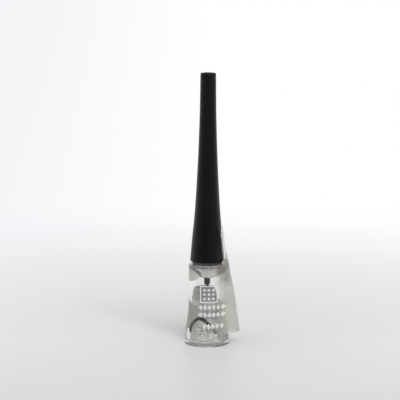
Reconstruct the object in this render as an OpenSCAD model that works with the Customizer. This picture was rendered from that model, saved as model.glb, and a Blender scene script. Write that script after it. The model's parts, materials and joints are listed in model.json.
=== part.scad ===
// Dip eyeliner: a clear bottle of glitter gel whose tall screw cap carries the brush.
// The origin is the centre of the bottle's foot, +Z is up, and the torn sleeve's ear points to +X.

/* [Bottle] */
// Height of the bottle from the table to its shoulder
bottle_h = 31.3; // [29:0.1:36]
// Diameter of the straight upper part
shoulder_d = 14.2; // [13.9:0.1:16]
// Diameter across the flared base
base_d = 17.25; // [16.5:0.05:20]
// Height at which the wall starts to flare
flare_h = 16; // [12:0.5:20]
// Diameter of the cavity above the flare
cavity_d = 12; // [11.5:0.1:12.4]
// Diameter of the cavity where the flare would meet the table
cavity_base_d = 13.2; // [12.4:0.1:14]
// Height of the cavity's floor above the table
floor_t = 1.2; // [1:0.1:2.5]
// Thickness of the shoulder
shoulder_t = 1.2; // [0.9:0.1:2]
// Depth of the hollow under the base
foot_recess = 0.4; // [0.2:0.1:0.6]
// Width of the ring that the bottle stands on
foot_ring_w = 1.8; // [1.2:0.1:3]
// Rounding of the heel and the shoulder
bottle_edge_r = 0.5; // [0.3:0.05:0.8]
// Rounding inside the cavity
cavity_corner_r = 1; // [0.6:0.1:1.6]

/* [Neck and thread] */
// Outer diameter of the neck
neck_d = 7.4; // [7.2:0.1:7.8]
// Bore of the neck
neck_bore_d = 5.4; // [5:0.1:5.8]
// Height of the neck above the shoulder
neck_h = 8; // [7.5:0.1:10]
// Rise of the thread in one turn
thread_pitch = 2.4; // [2.2:0.1:2.6]
// Turns of the ridge on the neck
neck_turns = 1.5; // [1:0.25:1.75]
// Turns of the ridge in the inner cap
cap_turns = 1.5; // [1:0.25:1.5]
// How far each ridge stands out
thread_reach = 0.5; // [0.4:0.05:0.55]
// Width of each ridge at its root
thread_root_w = 1; // [0.8:0.1:1.1]
// Width of each ridge at its crest
thread_crest_w = 0.5; // [0.3:0.1:0.6]
// Space between a crest and the wall that it faces
crest_gap = 0.2; // [0.15:0.05:0.25]
// Play between the two ridges' flanks
flank_gap = 0.12; // [0.1:0.01:0.2]
// Distance from the neck's lip to the top end of its ridge
lip_lead = 1.4; // [1.2:0.1:1.8]

/* [Wiper] */
// Diameter of the flange on the neck's lip
flange_d = 7; // [6.6:0.1:7.2]
// Thickness of the flange
flange_t = 0.6; // [0.4:0.1:1]
// How far the wiper reaches down from the neck's lip
wiper_len = 12.9; // [11:0.1:14]
// Wall of the wiper's tube
wiper_wall = 0.5; // [0.4:0.05:0.7]
// Length of the narrow lip round the orifice
orifice_len = 0.8; // [0.5:0.1:1.2]
// Height of the tapered lower end
wiper_taper_h = 1.2; // [0.8:0.1:2]
// Clearance between the tube and the neck's bore
wiper_fit = 0.03; // [0.02:0.01:0.05]

/* [Gel] */
// How far below the stem's lower end the gel stands
gel_drop = 1.2; // [0.8:0.1:3]
// Height of the upper stretch where the gel has parted from the wall
gel_dry_h = 4.9; // [3:0.1:7]
// How far the upper gel stands off the wall
gel_shrink = 0.65; // [0.4:0.05:1]
// Rounding of the gel's upper edge
gel_round = 1.2; // [0.8:0.1:1.6]
// Height of the cone of gel under the shoulder
gel_cone_h = 3.6; // [2.5:0.1:4.5]
// Width of that cone's lower end round the wiper
gel_cone_rim = 0.35; // [0.2:0.05:0.8]
// Space between the gel and the walls
gel_gap = 0.05; // [0.03:0.01:0.1]
// Space between the brush and the well that it has made in the gel
well_gap = 0.15; // [0.1:0.01:0.3]

/* [Cap shell] */
// Height of the cap from its rim to its tip
cap_h = 72.8; // [60:0.1:85]
// Diameter of the tip
cap_tip_d = 6; // [5.6:0.1:7]
// Diameter of the rim
cap_rim_d = 13.2; // [13:0.1:13.8]
// Wall of the shell
cap_wall = 0.8; // [0.7:0.05:0.9]
// Thickness of the closed tip
cap_tip_t = 1.4; // [1:0.1:2.5]
// Rounding of the tip's and the rim's edges
cap_edge_r = 0.35; // [0.2:0.05:0.38]
// Space between the bottle's shoulder and the rim
rim_gap = 1.2; // [0.9:0.1:1.6]

/* [Inner cap] */
// Space between the bottle's shoulder and the skirt
skirt_gap = 0.15; // [0.1:0.01:0.3]
// Clearance between the inner cap and the shell
shell_fit = 0.05; // [0.03:0.01:0.08]
// Thickness of the ceiling over the neck
ceiling_t = 1.2; // [1:0.1:1.6]
// Height of the boss that holds the stem
boss_h = 4.4; // [3.5:0.1:6]
// Wall of the boss
boss_wall = 1; // [0.8:0.1:1.4]
// Number of grip ribs
rib_count = 12; // [8:1:18]
// Width of a grip rib
rib_w = 0.6; // [0.4:0.1:0.8]
// How far a grip rib bites into the shell
rib_bite = 0.04; // [0.02:0.01:0.06]

/* [Seal ring] */
// Thickness of the seal ring
seal_t = 0.8; // [0.6:0.1:1.2]
// Bore of the seal ring
seal_bore_d = 4.4; // [4.3:0.1:4.8]
// Play round and over the seal ring
seal_play = 0.05; // [0.03:0.01:0.08]

/* [Stem and brush] */
// Diameter of the stem
stem_d = 2.3; // [2:0.1:2.6]
// Diameter of the plug at the stem's upper end
plug_d = 3.2; // [2.9:0.1:3.4]
// How far the stem reaches below the ceiling
stem_len = 17.4; // [15.6:0.1:18]
// Diameter of the stem's lower end
stem_tip_d = 2; // [1.6:0.1:2.1]
// Height of the taper at the stem's lower end
stem_taper_h = 0.8; // [0.5:0.1:2]
// Clearance between the stem and the wiper's orifice
orifice_gap = 0.05; // [0.03:0.01:0.08]
// Clearance of the parts glued or pressed together on the stem
glue_gap = 0.02; // [0.01:0.01:0.04]
// Diameter of the tuft where it leaves the stem
tuft_d = 0.96; // [0.8:0.02:1.1]
// Length of the tuft below the stem
tuft_len = 11; // [8:0.5:14]
// Depth of the socket that holds the tuft
socket_depth = 2.5; // [1.5:0.1:4]
// Number of bristles
bristles = 300; // [300:10:400]
// Thickness of a bristle at its root
bristle_d = 0.034; // [0.02:0.002:0.036]

/* [Torn sleeve] */
// Thickness of the film
film_t = 0.12; // [0.08:0.01:0.2]
// Space between the film and the bottle
film_gap = 0.08; // [0.05:0.01:0.15]
// Height of the film's lower edge above the table
film_foot = 4.7; // [3:0.1:8]
// Reach of the creased ear from the axis at the lower edge
ear_foot_x = 12.7; // [11:0.1:14]
// Height above the shoulder at which the ear closes against the cap
ear_close_h = 5.7; // [4:0.1:10]
// Height above the shoulder of the torn strip's tip
tear_h = 15.4; // [12:0.1:20]

/* [Hidden] */

$fn = 96;
overrun = 0.1;
weld = 0.2;

// Steps along curved outlines
curve_steps = 16;
corner_steps = 6;
cap_steps = 36;
steps_per_turn = 24;

// The cap's flare: how far down from the tip, and how much of the growth from tip to rim
cap_flare_shares = [
    [0, 0], [0.19, 0.045], [0.32, 0.113], [0.45, 0.209], [0.58, 0.338], [0.71, 0.494],
    [0.8, 0.64], [0.87, 0.785], [0.935, 0.9], [1, 1]
];

// The film's torn upper edge: the azimuth, and how much of the way from the shoulder to the tip
tear_shares = [
    [-180, 0], [-56, 0], [-52, 0.06], [-48, 0.55], [-44, 1], [-36, 0.96], [-32, 0.8], [-24, 0.58],
    [-12, 0.45], [0, 0.37], [12, 0.24], [24, 0.1], [36, 0], [180, 0]
];

// Where the film's edges are cut into columns: close together on the ear, wider apart behind
film_azimuths = [each [-180 : 10 : -70], each [-64 : 4 : 64], each [70 : 10 : 170]];
film_rows = 10;

// How much of the tuft's width is left at half its length and at its point
tuft_mid_share = 0.8;
tuft_point_share = 0.08;
// How much shorter the outermost bristles are
tuft_cone_share = 0.3;
golden_angle = 137.508;
bristle_sides = 3;
// Where the rim's rounding meets the outside, as an angle of its arc
rim_round_end = -20;
// How deep the bristles are held in the plug
bristle_hold = 0.1;

shoulder_r = shoulder_d / 2;
base_r = base_d / 2;
cavity_r = cavity_d / 2;
cavity_base_r = cavity_base_d / 2;
neck_r = neck_d / 2;
bore_r = neck_bore_d / 2;
lip_z = bottle_h + neck_h;
cavity_top = bottle_h - shoulder_t;
lip_chamfer = thread_reach / 2;

flange_top = lip_z + flange_t;
wiper_r = bore_r - wiper_fit;
wiper_bottom = lip_z - wiper_len;
stem_r = stem_d / 2;
orifice_r = stem_r + orifice_gap;

seal_z = flange_top + seal_play;
seal_bore_r = seal_bore_d / 2;
ceiling_z = seal_z + seal_t + seal_play;
ceiling_top = ceiling_z + ceiling_t;
plug_r = plug_d / 2;

cap_bore_r = neck_r + thread_reach + crest_gap;
thread_step = (thread_root_w + thread_crest_w) / 2 - (thread_root_w - thread_crest_w) / 2
    * (thread_reach - crest_gap) / thread_reach + flank_gap;
neck_ridge_z = lip_z - lip_lead - neck_turns * thread_pitch;
// The cap's ridge starts half a turn before the neck's, on the same helix but one step lower
cap_ridge_lead = 0.5;
cap_ridge_z = neck_ridge_z - thread_step - cap_ridge_lead * thread_pitch;

rim_z = bottle_h + rim_gap;
cap_top = rim_z + cap_h;
cap_tip_r = cap_tip_d / 2;
cap_rim_r = cap_rim_d / 2;
skirt_z = bottle_h + skirt_gap;

stem_bottom = ceiling_z - stem_len;
socket_r = tuft_d / 2 + glue_gap;
tuft_r = tuft_d / 2;
tuft_tip = stem_bottom - tuft_len;

gel_r = cavity_r - gel_gap;
gel_top = stem_bottom - gel_drop;
well_r = tuft_r + well_gap;

film_tube_r = shoulder_r + film_gap;
film_top = bottle_h - bottle_edge_r;

function smooth_step(u) = u <= 0 ? 0 : u >= 1 ? 1 : u * u * (3 - 2 * u);

// Points of an arc about (cx, cz) from angle a0 to angle a1
function arc(cx, cz, r, a0, a1) =
    [for (i = [0 : corner_steps]) let (a = a0 + (a1 - a0) * i / corner_steps)
        [cx + r * cos(a), cz + r * sin(a)]];

// A smooth curve through a table of [place, value], read at t
function span_of(t, table, i = 0) =
    i >= len(table) - 2 || t < table[i + 1][0] ? i : span_of(t, table, i + 1);
function slope_at(table, i) =
    let (a = table[max(i - 1, 0)], b = table[min(i + 1, len(table) - 1)]) (b[1] - a[1]) / (b[0] - a[0]);
function curve_at(t, table) =
    let (
        i = span_of(t, table),
        a = table[i],
        b = table[i + 1],
        w = b[0] - a[0],
        u = (t - a[0]) / w,
        rise = smooth_step(u)
    )
    a[1] + (b[1] - a[1]) * rise
        + w * (slope_at(table, i) * u * (1 - u) * (1 - u) - slope_at(table, i + 1) * u * u * (1 - u));

function bottle_r(z) = shoulder_r + (base_r - shoulder_r) * smooth_step(1 - z / flare_h);
function cavity_side_r(z) = cavity_r + (cavity_base_r - cavity_r) * smooth_step(1 - z / flare_h);
// The cavity's side and rounded bottom from height top down to height floor, a clearance inside its wall
function cavity_side(top, floor, gap) =
    let (low = floor + cavity_corner_r)
    concat(
        [for (i = [curve_steps : -1 : 1])
            let (z = low + (top - low) * i / curve_steps) [cavity_side_r(z) - gap, z]],
        arc(cavity_side_r(low) - gap - cavity_corner_r, low, cavity_corner_r, 0, -90),
        [[0, floor]]
    );
function cap_r(z) =
    cap_tip_r + (cap_rim_r - cap_tip_r) * curve_at(min(max((cap_top - z) / cap_h, 0), 1), cap_flare_shares);
function shell_bore_r(z) = cap_r(max(z, rim_z)) - cap_wall;

// The outline of a helical ridge at one place along it: the root, the crest and the root again
function ridge_outline(root_r, crest_r, fade) =
    let (r = root_r + (crest_r - root_r) * fade, out = crest_r > root_r ? 1 : -1)
    [
        [root_r - out * weld, -thread_root_w / 2], [r, -thread_crest_w / 2],
        [r, thread_crest_w / 2], [root_r - out * weld, thread_root_w / 2]
    ];

// A helical ridge of so many turns from height z at azimuth start, fading in and out over an eighth of a turn
module ridge(root_r, crest_r, turns, z, start) {
    steps = round(turns * steps_per_turn);
    fade_steps = steps_per_turn / 8;
    points = [
        for (i = [0 : steps])
            let (
                a = start + 360 * i / steps_per_turn,
                fade = min(1, (i + 1) / fade_steps, (steps - i + 1) / fade_steps)
            )
            for (p = ridge_outline(root_r, crest_r, fade))
                [p[0] * cos(a), p[0] * sin(a), z + p[1] + thread_pitch * i / steps_per_turn]
    ];
    sides = [
        for (i = [0 : steps - 1], k = [0 : 3])
            let (a = 4 * i + k, b = 4 * i + (k + 1) % 4)
            each [[a, b, a + 4], [b, b + 4, a + 4]]
    ];
    last = 4 * steps;
    ends = [[0, 2, 1], [0, 3, 2], [last, last + 1, last + 2], [last, last + 2, last + 3]];
    faces = concat(sides, ends);
    inward = [for (f = faces) [f[2], f[1], f[0]]];
    polyhedron(points, crest_r > root_r ? faces : inward, convexity = 6);
}

module bottle() {
    foot_r = base_r - foot_ring_w;
    heel_r = bottle_r(bottle_edge_r);
    outline = concat(
        [[0, foot_recess], [foot_r - foot_recess, foot_recess], [foot_r, 0]],
        arc(heel_r - bottle_edge_r, bottle_edge_r, bottle_edge_r, -90, 0),
        [for (i = [1 : curve_steps])
            let (z = bottle_edge_r + (flare_h - bottle_edge_r) * i / curve_steps) [bottle_r(z), z]],
        arc(shoulder_r - bottle_edge_r, bottle_h - bottle_edge_r, bottle_edge_r, 0, 90),
        [
            [neck_r, bottle_h], [neck_r, lip_z - lip_chamfer], [neck_r - lip_chamfer, lip_z],
            [bore_r, lip_z], [bore_r, cavity_top]
        ],
        arc(cavity_r - cavity_corner_r, cavity_top - cavity_corner_r, cavity_corner_r, 90, 0),
        cavity_side(max(flare_h, floor_t + 2 * cavity_corner_r), floor_t, 0)
    );
    color([0.85, 0.88, 0.88, 0.35]) {
        rotate_extrude() polygon(outline);
        ridge(neck_r, neck_r + thread_reach, neck_turns, neck_ridge_z, 0);
    }
}

module wiper() {
    taper_top = wiper_bottom + wiper_taper_h;
    tip_r = orifice_r + wiper_wall;
    tube_r = wiper_r - wiper_wall;
    funnel_bottom = wiper_bottom + orifice_len;
    funnel_top = funnel_bottom + (tube_r - orifice_r);
    color([0.93, 0.93, 0.9, 0.6]) rotate_extrude() polygon([
        [orifice_r, wiper_bottom], [tip_r, wiper_bottom], [wiper_r, taper_top], [wiper_r, lip_z],
        [flange_d / 2, lip_z], [flange_d / 2, flange_top], [tube_r, flange_top],
        [tube_r, funnel_top], [orifice_r, funnel_bottom]
    ]);
}

// The gel has parted from the wall in its upper stretch, and the brush keeps a well open in it.
module gel_mass() {
    wet_top = gel_top - gel_dry_h;
    upper_r = gel_r - gel_shrink;
    well_bottom = tuft_tip - well_gap;
    rotate_extrude() polygon(concat(
        [[0, well_bottom], [well_r, well_bottom + well_r], [well_r, gel_top]],
        arc(upper_r - gel_round, gel_top - gel_round, gel_round, 90, 0),
        [[upper_r, wet_top + gel_shrink]],
        cavity_side(wet_top - gel_shrink, floor_t + gel_gap, gel_gap)
    ));
}

// Gel that clings under the shoulder, round the wiper
module gel_cone() {
    ring_r = wiper_r + gel_gap;
    cone_top = cavity_top - gel_gap;
    taper_top = wiper_bottom + wiper_taper_h;
    cone_bottom = max(cone_top - gel_cone_h, taper_top - wiper_taper_h / 2);
    inner_r = ring_r - max(0, taper_top - cone_bottom) * (wiper_r - orifice_r - wiper_wall) / wiper_taper_h;
    rotate_extrude() polygon(concat(
        [[inner_r, cone_bottom], [inner_r + gel_cone_rim, cone_bottom]],
        arc(gel_r - cavity_corner_r, cone_top - cavity_corner_r, cavity_corner_r, 45, 90),
        [[ring_r, cone_top], [ring_r, max(taper_top, cone_bottom)]]
    ));
}

module liner_gel() {
    color([0.62, 0.62, 0.62]) {
        gel_mass();
        gel_cone();
    }
}

function film_body_r(z) = max(bottle_r(min(z, bottle_h)), shoulder_r) + film_gap;
function ear_x(z) =
    ear_foot_x + (film_tube_r - ear_foot_x) * (z - film_foot) / (bottle_h + ear_close_h - film_foot);
// Round the bottle the film is a tube, and it leaves it along two tangents that meet at the ear's crease.
function film_r(azimuth, z) =
    let (r = film_body_r(z), x = ear_x(z), half = x > r ? acos(r / x) : 0)
    abs(azimuth) < half ? r / cos(half - abs(azimuth)) : r;
function film_edge_z(azimuth) = film_top + (bottle_h + tear_h - film_top) * lookup(azimuth, tear_shares);

module label_film() {
    columns = len(film_azimuths);
    stride = film_rows + 1;
    skin = [
        for (t = [0, film_t], a = film_azimuths, k = [0 : film_rows])
            let (z = film_foot + (film_edge_z(a) - film_foot) * k / film_rows, r = film_r(a, z) + t)
            [r * cos(a), r * sin(a), z]
    ];
    outer = columns * stride;
    walls = [
        for (i = [0 : columns - 1], k = [0 : film_rows - 1])
            let (a = i * stride + k, b = (i + 1) % columns * stride + k)
            each [
                [a, b, a + 1], [b, b + 1, a + 1],
                [outer + a, outer + a + 1, outer + b], [outer + b, outer + a + 1, outer + b + 1]
            ]
    ];
    edges = [
        for (i = [0 : columns - 1])
            let (a = i * stride, b = (i + 1) % columns * stride, c = a + film_rows, d = b + film_rows)
            each [
                [a, outer + a, b], [b, outer + a, outer + b],
                [c, d, outer + c], [d, outer + d, outer + c]
            ]
    ];
    color([0.8, 0.79, 0.75, 0.4]) polyhedron(skin, concat(walls, edges), convexity = 8);
}

module seal_ring() {
    outer_r = cap_bore_r - seal_play;
    color([0.9, 0.9, 0.88]) rotate_extrude() polygon([
        [seal_bore_r, seal_z], [outer_r, seal_z], [outer_r, seal_z + seal_t], [seal_bore_r, seal_z + seal_t]
    ]);
}

// Half outline of the inner cap's outside, a clearance inside the shell
function inner_cap_side(gap) = [
    for (i = [0 : corner_steps])
        let (z = rim_z + (ceiling_top - rim_z) * i / corner_steps) [shell_bore_r(z) - gap, z]
];

module inner_cap() {
    skirt_r = shell_bore_r(rim_z) - shell_fit;
    boss_r = plug_r + glue_gap + boss_wall;
    spigot_r = seal_bore_r - seal_play;
    skirt_edge = shell_fit * 4;
    color([0.17, 0.17, 0.18]) {
        difference() {
            union() {
                rotate_extrude() polygon(concat(
                    [[0, skirt_z], [skirt_r - skirt_edge, skirt_z], [skirt_r, skirt_z + skirt_edge]],
                    inner_cap_side(shell_fit),
                    [[0, ceiling_top]]
                ));
                intersection() {
                    rotate_extrude() polygon(concat([[0, rim_z]], inner_cap_side(-rib_bite), [[0, ceiling_top]]));
                    for (i = [0 : rib_count - 1])
                        rotate(360 * i / rib_count)
                            translate([0, -rib_w / 2, rim_z + cap_edge_r])
                                cube([cap_rim_r, rib_w, ceiling_top - rim_z - 2 * cap_edge_r]);
                }
                translate([0, 0, ceiling_top - weld]) cylinder(r = boss_r, h = boss_h + weld);
            }
            translate([0, 0, skirt_z - overrun]) cylinder(r = cap_bore_r, h = ceiling_z - skirt_z + overrun);
            translate([0, 0, skirt_z]) cylinder(r = plug_r + glue_gap, h = cap_h);
        }
        difference() {
            translate([0, 0, seal_z + seal_play]) cylinder(r = spigot_r, h = seal_t + weld);
            translate([0, 0, skirt_z]) cylinder(r = plug_r + glue_gap, h = cap_h);
        }
        ridge(cap_bore_r, cap_bore_r - thread_reach, cap_turns, cap_ridge_z, -360 * cap_ridge_lead);
    }
}

module cap_shell() {
    bore_top = cap_top - cap_tip_t;
    outline = concat(
        [for (i = [0 : cap_steps])
            let (z = rim_z + cap_edge_r + (cap_h - 2 * cap_edge_r) * i / cap_steps) [cap_r(z), z]],
        arc(cap_tip_r - cap_edge_r, cap_top - cap_edge_r, cap_edge_r, 0, 90),
        [[0, cap_top], [0, bore_top]],
        [for (i = [cap_steps : -1 : 0])
            let (z = rim_z + (bore_top - rim_z) * i / cap_steps) [shell_bore_r(z), z]],
        arc(cap_rim_r - cap_edge_r, rim_z + cap_edge_r, cap_edge_r, -90, rim_round_end)
    );
    color([0.08, 0.08, 0.09]) rotate_extrude() polygon(outline);
}

module stem() {
    plug_top = ceiling_top + boss_h;
    plug_bottom = seal_z + seal_play;
    color([0.05, 0.05, 0.05]) difference() {
        rotate_extrude() polygon([
            [0, stem_bottom], [stem_tip_d / 2, stem_bottom], [stem_r, stem_bottom + stem_taper_h],
            [stem_r, plug_bottom], [plug_r, plug_bottom], [plug_r, plug_top], [0, plug_top]
        ]);
        translate([0, 0, stem_bottom - overrun]) cylinder(r = socket_r, h = socket_depth + overrun);
    }
}

// Bristles stand in a sunflower pattern and draw in evenly towards the point, so that none cross.
module tuft() {
    mid_z = stem_bottom - tuft_len / 2;
    root_r = tuft_r - bristle_d;
    points = [
        for (i = [0 : bristles - 1])
            let (
                share = sqrt((i + 0.5) / bristles),
                a = i * golden_angle,
                x = root_r * share * cos(a),
                y = root_r * share * sin(a),
                length = tuft_len * (1 - tuft_cone_share * share * share),
                tip_share = tuft_point_share + (tuft_mid_share - tuft_point_share)
                    * (tuft_len - length) / (tuft_len / 2)
            )
            each concat(
                [for (k = [0 : bristle_sides - 1]) let (b = a + 360 * k / bristle_sides)
                    [x + bristle_d / 2 * cos(b), y + bristle_d / 2 * sin(b), stem_bottom + bristle_hold]],
                [for (k = [0 : bristle_sides - 1]) let (b = a + 360 * k / bristle_sides, m = tuft_mid_share)
                    [m * (x + bristle_d / 2 * cos(b)), m * (y + bristle_d / 2 * sin(b)), mid_z]],
                [[tip_share * x, tip_share * y, stem_bottom - length]]
            )
    ];
    count = 2 * bristle_sides + 1;
    faces = [
        for (i = [0 : bristles - 1])
            let (o = i * count)
            each concat(
                [[o + 2, o + 1, o]],
                [for (k = [0 : bristle_sides - 1])
                    let (a = o + k, b = o + (k + 1) % bristle_sides)
                    each [
                        [a, b, a + bristle_sides], [b, b + bristle_sides, a + bristle_sides],
                        [a + bristle_sides, b + bristle_sides, o + count - 1]
                    ]]
            )
    ];
    polyhedron(points, faces, convexity = 8);
}

module brush() {
    color([0.1, 0.1, 0.1]) {
        translate([0, 0, stem_bottom]) cylinder(r = tuft_r, h = socket_depth - glue_gap);
        tuft();
    }
}

bottle();
wiper();
liner_gel();
label_film();
seal_ring();
inner_cap();
cap_shell();
stem();
brush();
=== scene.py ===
"""A dip eyeliner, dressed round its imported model: a clear bottle of glitter gel in a torn sleeve, under
a tall black screw cap that carries the brush. Lengths are in metres, and MM is a millimetre. The axis
of the bottle is Z, the torn sleeve's ear points to +X, and the front, which the camera sees, is -Y.
Azimuths are in degrees: from +X on the sleeve, and from the front, to the right, on the gel."""

import json
import math
import random

import bmesh
import bpy
from mathutils import Matrix, Vector, noise

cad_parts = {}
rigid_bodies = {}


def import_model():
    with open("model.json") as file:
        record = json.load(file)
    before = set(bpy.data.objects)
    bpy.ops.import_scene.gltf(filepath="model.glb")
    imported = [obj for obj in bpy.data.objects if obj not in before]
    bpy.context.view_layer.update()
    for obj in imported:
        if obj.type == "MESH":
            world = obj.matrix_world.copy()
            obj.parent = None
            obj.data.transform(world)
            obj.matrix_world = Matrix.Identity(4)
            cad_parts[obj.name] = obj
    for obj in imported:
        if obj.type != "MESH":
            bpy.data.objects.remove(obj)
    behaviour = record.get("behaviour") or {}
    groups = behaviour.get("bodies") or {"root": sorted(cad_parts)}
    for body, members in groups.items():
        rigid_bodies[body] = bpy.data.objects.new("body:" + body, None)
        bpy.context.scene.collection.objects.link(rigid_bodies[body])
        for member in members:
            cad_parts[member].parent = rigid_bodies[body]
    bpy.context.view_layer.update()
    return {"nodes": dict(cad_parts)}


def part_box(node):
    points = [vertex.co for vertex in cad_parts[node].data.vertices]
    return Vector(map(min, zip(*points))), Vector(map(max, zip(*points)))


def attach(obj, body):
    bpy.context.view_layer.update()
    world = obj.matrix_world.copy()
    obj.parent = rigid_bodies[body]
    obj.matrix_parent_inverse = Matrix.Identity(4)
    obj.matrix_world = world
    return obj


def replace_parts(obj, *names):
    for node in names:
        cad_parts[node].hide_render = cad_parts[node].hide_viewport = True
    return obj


for leftover in list(bpy.data.objects):
    bpy.data.objects.remove(leftover)

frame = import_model()

MM = 0.001
TURN = 2 * math.pi

# Heights and reaches that the frame gives
LIP_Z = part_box("bottle")[1].z
RIM_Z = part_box("cap_shell")[0].z
CAP_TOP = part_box("cap_shell")[1].z
CAP_RIM_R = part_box("cap_shell")[1].x
STEM_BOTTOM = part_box("stem")[0].z
TUFT_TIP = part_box("brush")[0].z
TUFT_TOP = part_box("brush")[1].z
FILM_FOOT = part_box("label_film")[0].z
TEAR_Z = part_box("label_film")[1].z
EAR_FOOT_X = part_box("label_film")[1].x

# The bottle, as the part's source has it
SHOULDER_Z = LIP_Z - 8 * MM
SHOULDER_R = 7.1 * MM
BASE_R = 8.625 * MM
FLARE_Z = 16 * MM
CAVITY_R = 6 * MM
CAVITY_BASE_R = 6.6 * MM
CAVITY_CORNER = 1 * MM
FLOOR_Z = 1.2 * MM
CAVITY_TOP = SHOULDER_Z - 1.2 * MM
FOOT_RECESS = 0.4 * MM
FOOT_RING_W = 1.8 * MM
BOTTLE_EDGE = 0.5 * MM
NECK_R = 3.7 * MM
BORE_R = 2.7 * MM
LIP_CHAMFER = 0.25 * MM

# The thread on the neck
PITCH = 2.4 * MM
RIDGE_TURNS = 1.5
RIDGE_REACH = 0.5 * MM
RIDGE_ROOT = 1 * MM
RIDGE_CREST = 0.5 * MM
RIDGE_SINK = 0.2 * MM
RIDGE_Z = LIP_Z - 1.4 * MM - RIDGE_TURNS * PITCH

# The cap
CAP_TIP_R = 3 * MM
CAP_WALL = 0.8 * MM
CAP_TIP_T = 1.4 * MM
CAP_EDGE = 0.35 * MM
# How far down from the tip, and how much of the growth from tip to rim
CAP_FLARE_SHARES = [
    (0, 0), (0.19, 0.045), (0.32, 0.113), (0.45, 0.209), (0.58, 0.338), (0.71, 0.494),
    (0.8, 0.64), (0.87, 0.785), (0.935, 0.9), (1, 1),
]

# The gel. Where it wets the wall its surface lies a hair inside the plastic, so no air shows between. Above
# SLUMP_Z it falls away to the right.
WET = 0.03 * MM
PARTED = 0.13 * MM
GEL_TOP = STEM_BOTTOM - 1.2 * MM
SLUMP_Z = 16.4 * MM
GEL_UPPER_R = 5.2 * MM
GEL_ROUND = 0.9 * MM
WELL_R = 0.63 * MM
CONE_H = 3.6 * MM
CONE_BOTTOM_R = 3.1 * MM
WIPER_R = 2.67 * MM
# The brush, caught in the gel, bows to the right: how far, and over how much of its length
BRUSH_BOW = 1.3 * MM
BRUSH_BOW_H = 5 * MM
# Where the gel leaves the wall: azimuth from the front, and height in mm
CONTACT_LINE = [
    (-180, 17.2), (-125, 18.9), (-100, 18.9), (-85, 17.8), (-65, 16.8), (-54, 16), (0, 16), (40, 16.6),
    (90, 17.4), (180, 17.2),
]
# The edge of the patch, low in front, where it has parted from the wall too
PATCH_EDGE = [
    (-180, 0), (-128, 0), (-112, 5.8), (-75, 6.4), (-62, 6.6), (-58, 7.8), (-47.6, 9.1), (-41.6, 10),
    (-33.8, 10.6), (-24.5, 10.8), (-13.8, 10.5), (-3.5, 9.9), (4.9, 9.0), (11.5, 8.1), (17.6, 8.3),
    (21.5, 7.1), (26.4, 5.7), (29.7, 5), (36, 0), (180, 0),
]
# The creases in its face, painted dark as the shade where the gel parts from the wall: the arch over that
# patch, and the stroke at its right
ARCH = [
    (-61, 4.6), (-61.5, 6.2), (-57.5, 7.7), (-48, 9.1), (-41.6, 10), (-33.8, 10.6), (-24.5, 10.8),
    (-13.8, 10.5), (-3.5, 9.9), (4.9, 9), (11.5, 8.1),
]
STROKE = [(17.6, 8.4), (21.5, 7.1), (26.4, 5.7), (30, 4.9)]
# The coat that gel has left on the wall under the shoulder: its lower and upper edges
COAT_LOW = [
    (-180, 26.9), (-120, 25.4), (-93, 25), (-70, 24.9), (-57, 25.1), (-42, 25.9), (-32, 26.6), (-22, 27.1),
    (-17, 27.3), (0, 27.4), (20, 27.2), (40, 27.6), (60, 28.2), (110, 27.8), (180, 26.9),
]
COAT_TOP = [
    (-180, 30.2), (-68, 30.2), (-52.5, 29.8), (-40.7, 29.1), (-32.3, 28.5), (-25.6, 28), (-18.9, 27.3),
]

# The sleeve
FILM_T = 0.06 * MM
FILM_GAP = 0.09 * MM
FILM_STRIP_R = 6.86 * MM
EAR_TOP_Z = SHOULDER_Z + 5.7 * MM
EAR_BULGE = 0.42 * MM
# The ear is milky up to MILKY_Z, and olive from OLIVE_Z to OLIVE_END_Z, the more so from OLIVE_DEEP_Z. The
# olive is partly the film's tint and partly painted shade that deepens towards the cap
MILKY_Z = 19 * MM
OLIVE_Z = 21.5 * MM
OLIVE_DEEP_Z = 29.8 * MM
OLIVE_END_Z = 34 * MM
# The torn upper edge: degrees from the ear, and how much of the way up from the shoulder to the tip. The
# strip's left border is a cut at CUT_AZIMUTH.
CUT_AZIMUTH = -30
TEAR_SHARES = [
    (-180, 0.0), (CUT_AZIMUTH - 0.4, 0.0), (CUT_AZIMUTH, 1.0), (-23, 0.98), (-19.5, 0.9), (-17.5, 0.83),
    (-13.6, 0.61), (-8.5, 0.49), (0, 0.37), (12, 0.24), (24, 0.1), (36, 0.0), (180, 0.0),
]
# How that cut wavers on its way up: height in mm, and degrees from CUT_AZIMUTH, below 0 to the left
TEAR_LEAN = [
    (30.8, 0), (31.3, -9), (32.6, -4), (34.6, -3), (36.2, -4), (38.9, -5), (43.6, -12), (46.7, -11),
]
# What the mesh tells the film's material about each point
FILM_LOOKS = ("free", "olive_shade", "milky", "fold_glare")

SPIN_STEPS = 144


# Meshes


def linked(name, mesh, material):
    """An object of this mesh in the scene, smooth but for its hard edges."""
    mesh.materials.append(material)
    mesh.polygons.foreach_set("use_smooth", [True] * len(mesh.polygons))
    mesh.set_sharp_from_angle(angle=math.radians(38))
    piece = bpy.data.objects.new(name, mesh)
    bpy.context.scene.collection.objects.link(piece)
    return piece


def piece_of(name, bm, material, body):
    """The finished piece made from a bmesh, riding on its body."""
    mesh = bpy.data.meshes.new(name)
    bm.to_mesh(mesh)
    bm.free()
    piece = linked(name, mesh, material)
    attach(piece, body)
    return piece


def add_part(whole, part):
    """Adds a small finished bmesh to a larger one."""
    mesh = bpy.data.meshes.new("part")
    part.to_mesh(mesh)
    part.free()
    whole.from_mesh(mesh)
    bpy.data.meshes.remove(mesh)


def arc(cx, cz, r, start, end, steps=6):
    """Points (radius, height) of an arc about (cx, cz), from angle start to end in degrees."""
    angles = [math.radians(start + (end - start) * i / steps) for i in range(steps + 1)]
    return [(cx + r * math.cos(a), cz + r * math.sin(a)) for a in angles]


def steps_between(low, high, count):
    """count heights from just above low up to high."""
    return [low + (high - low) * i / count for i in range(1, count + 1)]


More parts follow.
